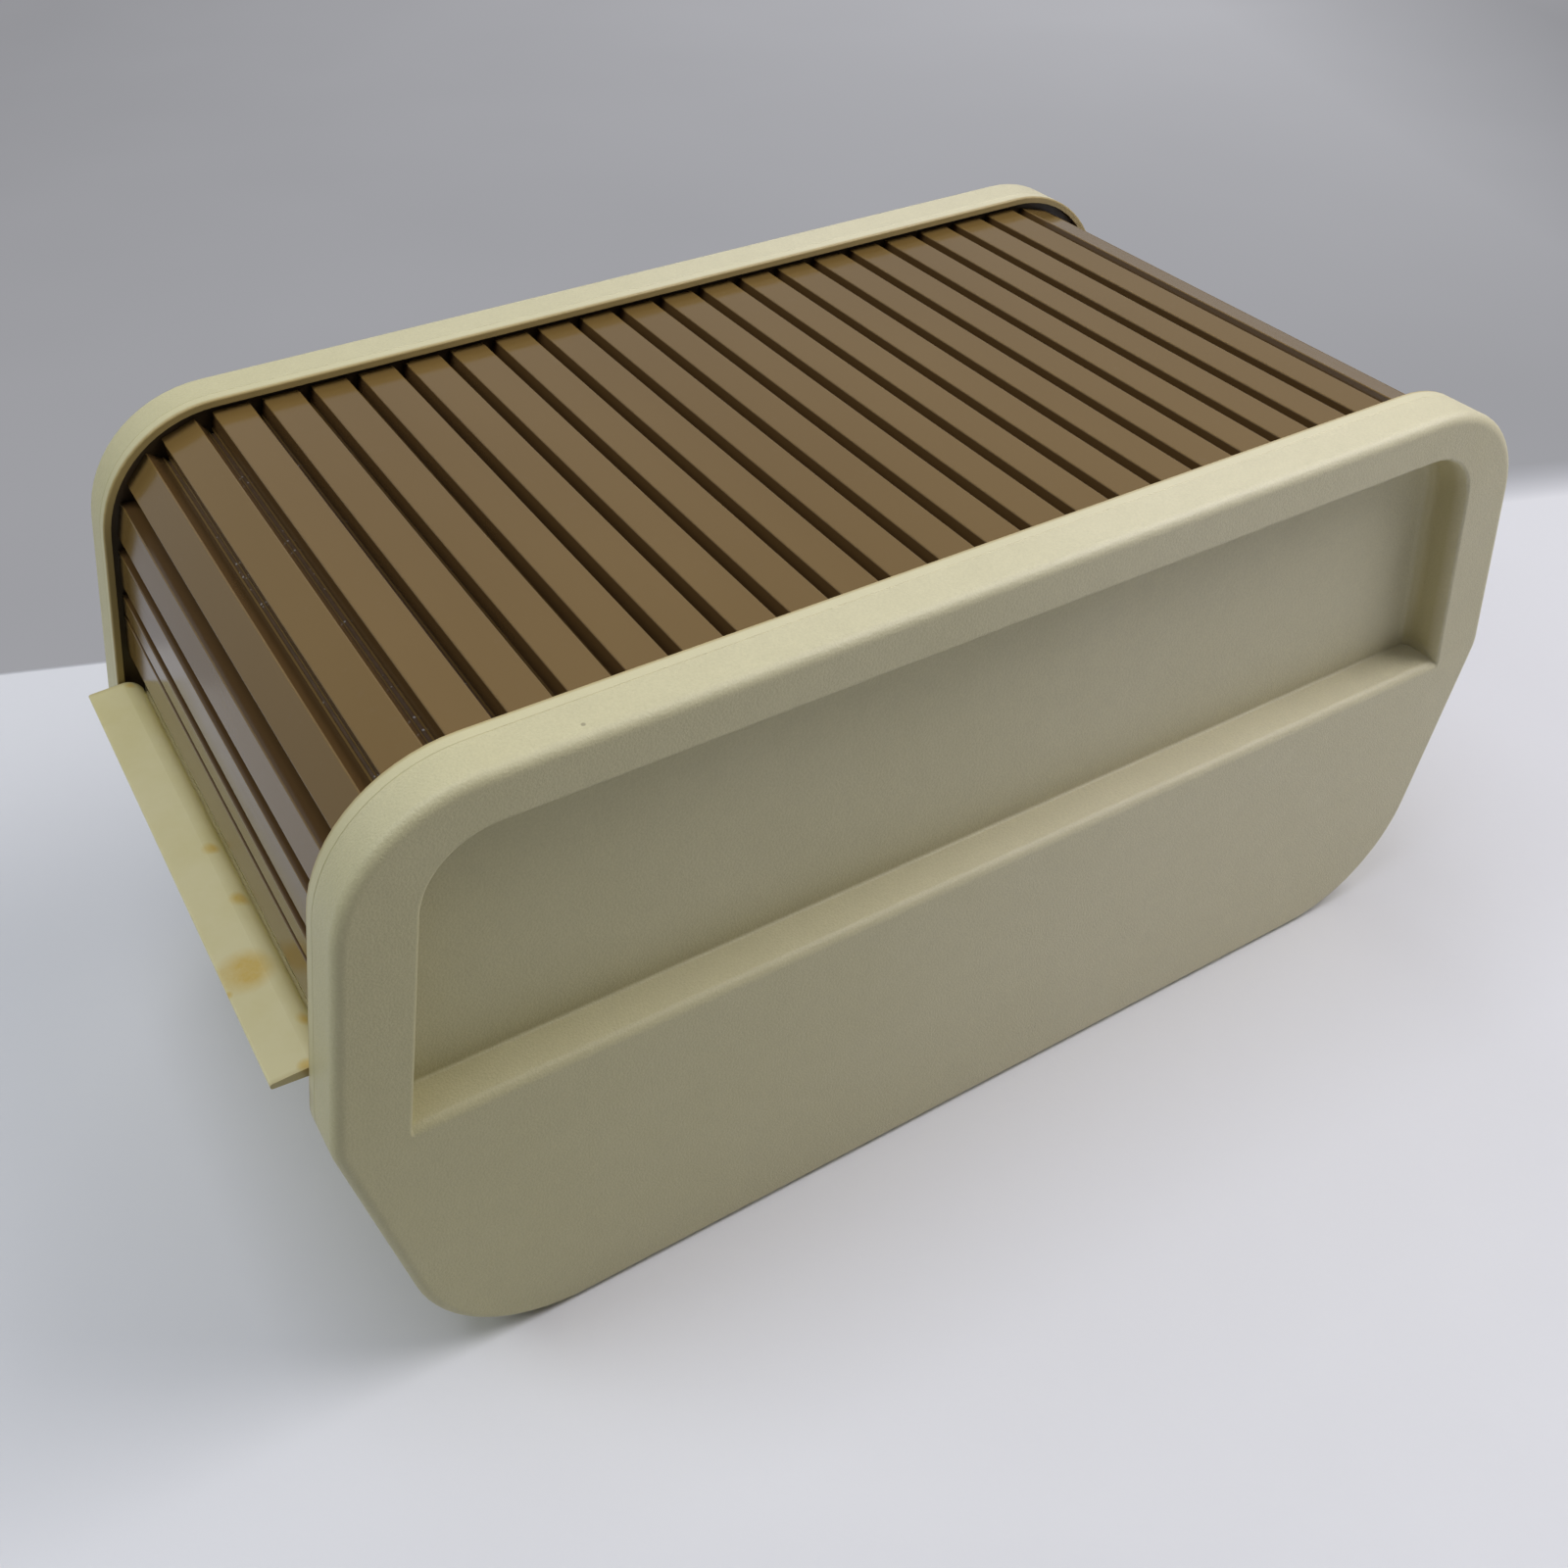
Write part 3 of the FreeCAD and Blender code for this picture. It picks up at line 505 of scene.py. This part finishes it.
def make_webs():
    """One web behind each brown member; it rides on the one in front of it."""
    slats = ["lead_slat"] + ["slat_%02d" % number for number in range(1, LAST_SLAT + 1)]
    material = web_plastic()
    for number, (first, second) in enumerate(zip(slats, slats[1:]), start=1):
        body = "handle" if first == "lead_slat" else first
        make_web("web_%02d" % number, first, second, body, material)


def floor_place(t, direction):
    """Distance on the floor from the start of the paper's edge, along a direction."""
    return t.math("SUBTRACT", t.vector("DOT_PRODUCT", t.coords, direction), EDGE_START.dot(direction))


def grey_paper_share(t, along, beyond):
    """0 on the white paper and 1 on the grey; the edge between them gets softer as it goes back."""
    step = t.node("ShaderNodeMapRange")
    t.link(beyond, step.inputs["Value"])
    t.link(t.ramp(along, 0.1, 0.6, EDGE_SHARP, EDGE_SOFT), step.inputs["From Max"])
    return step.outputs["Result"]


def backdrop_level(t, along, beyond):
    """Painted light of the grey paper's glow: brighter along its edge and darker in the far corner."""
    slope = t.ramp(along, -0.1, 0.7, BACKDROP_DARKER, BACKDROP_BRIGHTER)
    corner = t.ramp(along, 0.76, 1.0, 0.0, BACKDROP_CORNER)
    far = t.ramp(beyond, 0.1, 0.7)
    drift = t.ramp(t.noise(5.0, detail=2.0), 0.3, 0.7, -BACKDROP_DRIFT, BACKDROP_DRIFT)
    return t.total(t.product(far, slope), BACKDROP_LEVEL, corner, drift)


def floor_paper():
    """White paper under the case and, beyond an edge, grey paper that the camera sees as a glow with
    painted light and shade.
    """
    t = Tree("studio_paper")
    line = (EDGE_END - EDGE_START).normalized()
    along = floor_place(t, line)
    beyond = floor_place(t, Vector((-line.y, line.x, 0.0)))
    grey_share = grey_paper_share(t, along, beyond)

    drift = t.ramp(t.noise(3.0, detail=3.0), 0.3, 0.7)
    white = t.mix(drift, TABLE_COLOR, tuple(TABLE_DRIFT * c for c in TABLE_COLOR))
    color = t.mix(grey_share, white, BACKDROP_SHADE)
    roughness = t.ramp(t.noise(40.0), 0.2, 0.8, 0.6, 0.8)
    t.finish(color, roughness, t.bump(t.noise(400.0), 0.1 * MM, strength=0.3), specular=0.3)

    # The glow carries painted light along the paper's edge and painted shade in its far corner
    glow = t.node("ShaderNodeEmission")
    glow.inputs["Color"].default_value = (*BACKDROP_TINT, 1.0)
    t.link(backdrop_level(t, along, beyond), glow.inputs["Strength"])
    camera_ray = t.node("ShaderNodeLightPath").outputs["Is Camera Ray"]
    both = t.node("ShaderNodeMixShader")
    t.link(t.product(grey_share, camera_ray), both.inputs["Fac"])
    t.link(t.shader.outputs["BSDF"], both.inputs[1])
    t.link(glow.outputs["Emission"], both.inputs[2])
    t.link(both.outputs["Shader"], t.output.inputs["Surface"])
    return t.material


def make_stage():
    """One wide floor; its two papers are told apart in the material."""
    signs = ((-1, -1), (1, -1), (1, 1), (-1, 1))
    corners = [(x * FLOOR_REACH, y * FLOOR_REACH, 0.0) for x, y in signs]
    mesh = bpy.data.meshes.new("floor")
    mesh.from_pydata(corners, [], [tuple(range(len(corners)))])
    floor = bpy.data.objects.new("floor", mesh)
    scene.collection.objects.link(floor)
    floor.data.materials.append(floor_paper())


def make_camera():
    """Pinhole camera from its place, three angles and focal length."""
    cos_pitch = math.cos(CAMERA_PITCH)
    forward = Vector((cos_pitch * math.cos(CAMERA_YAW), cos_pitch * math.sin(CAMERA_YAW),
                      math.sin(CAMERA_PITCH)))
    level = forward.cross(Vector((0, 0, 1))).normalized()
    up = level.cross(forward)
    right = level * math.cos(CAMERA_ROLL) + up * math.sin(CAMERA_ROLL)
    top = up * math.cos(CAMERA_ROLL) - level * math.sin(CAMERA_ROLL)
    turn = Matrix((right, top, -forward)).transposed().to_4x4()
    data = bpy.data.cameras.new("photo_camera")
    data.sensor_width = SENSOR
    data.lens = SENSOR * FOCAL_SHARE
    data.clip_start = NEAREST_SEEN
    data.clip_end = FARTHEST_SEEN
    camera = bpy.data.objects.new("photo_camera", data)
    camera.matrix_world = Matrix.Translation(CAMERA_PLACE) @ turn
    scene.collection.objects.link(camera)
    scene.camera = camera


def make_lamps():
    for name, (place, side, power, color) in LAMPS.items():
        data = bpy.data.lights.new(name, "AREA")
        data.shape = "RECTANGLE"
        data.size = side
        data.size_y = side
        data.energy = power
        data.color = color
        lamp = bpy.data.objects.new(name, data)
        lamp.location = place
        aim = LAMP_TARGET - Vector(place)
        lamp.rotation_euler = aim.to_track_quat("-Z", "Y").to_euler()
        lamp.visible_glossy = name != LAMP_NOT_MIRRORED
        scene.collection.objects.link(lamp)


def make_world():
    """Pale surroundings, at full strength only where they are seen or mirrored."""
    world = bpy.data.worlds.new("studio")
    world.use_nodes = True
    tree = world.node_tree
    background = tree.nodes["Background"]
    background.inputs["Color"].default_value = (*WORLD_COLOR, 1.0)
    path = tree.nodes.new("ShaderNodeLightPath")
    seen = tree.nodes.new("ShaderNodeMath")
    seen.operation = "MAXIMUM"
    tree.links.new(path.outputs["Is Camera Ray"], seen.inputs[0])
    tree.links.new(path.outputs["Is Glossy Ray"], seen.inputs[1])
    strength = tree.nodes.new("ShaderNodeMapRange")
    strength.inputs["To Min"].default_value = WORLD_LIGHT_SHARE
    tree.links.new(seen.outputs["Value"], strength.inputs["Value"])
    tree.links.new(strength.outputs["Result"], background.inputs["Strength"])
    scene.world = world


dress_nodes()
make_webs()
make_stage()
make_camera()
make_lamps()
make_world()
scene.view_settings.view_transform = "Standard"
